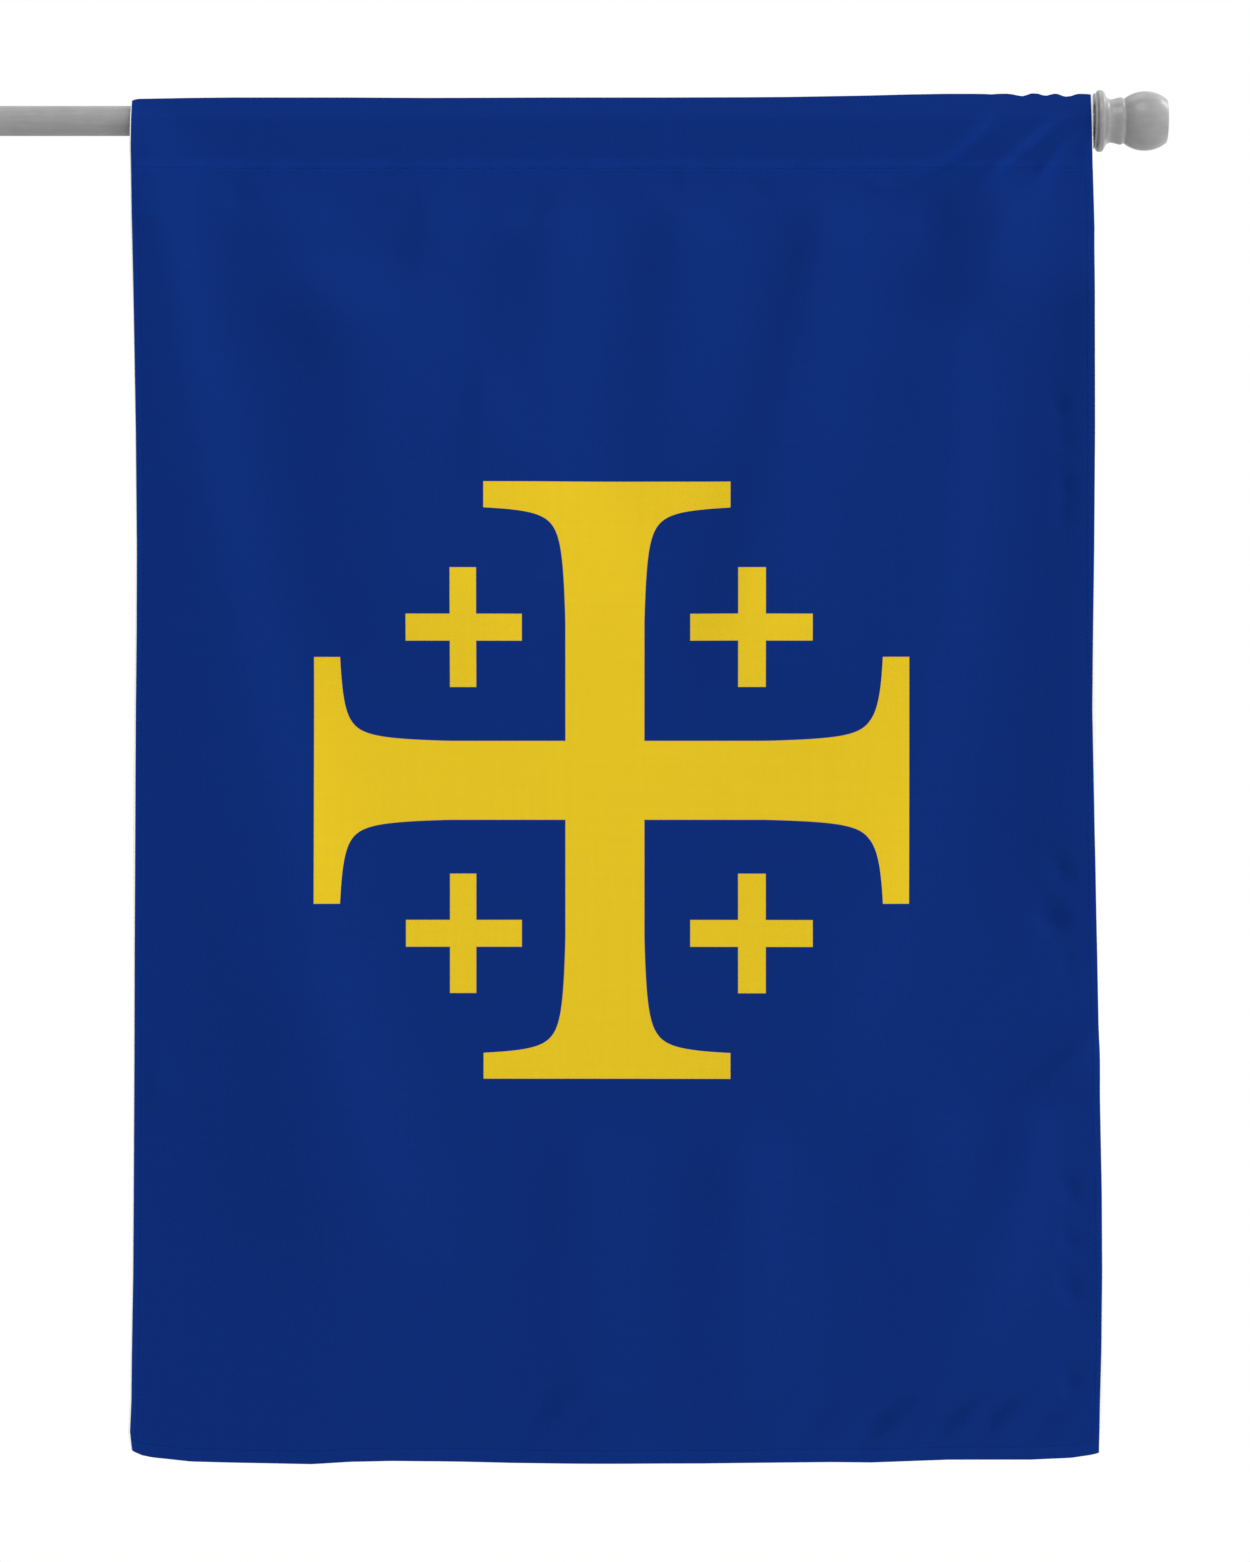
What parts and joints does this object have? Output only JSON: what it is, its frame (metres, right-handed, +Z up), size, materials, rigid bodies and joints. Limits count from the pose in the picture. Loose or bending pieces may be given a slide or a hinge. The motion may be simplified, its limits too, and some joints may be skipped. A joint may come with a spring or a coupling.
{
  "type": "house flag on a pole",
  "caption": "Upright printed cloth flag hanging flat from a sleeve on a level round pole, with turned finial at the free end and plain butt end for a wall bracket.",
  "frame": {"origin": "centre of the pole's plain butt end face, where a wall bracket takes it", "axes": "+X along the pole to the finial, +Z up, the printed face of the cloth towards -Y"},
  "size_m": [1.0133, 0.0469, 1.008],
  "materials": {
    "flag_cloth": "printed polyester, matt with a slight sheen",
    "painted_wood": "grey satin paint over turned wood"
  },
  "bodies": {
    "root": {"flag_cloth": "flag_cloth", "pole": "painted_wood", "finial": "painted_wood"}
  },
  "joints": []
}
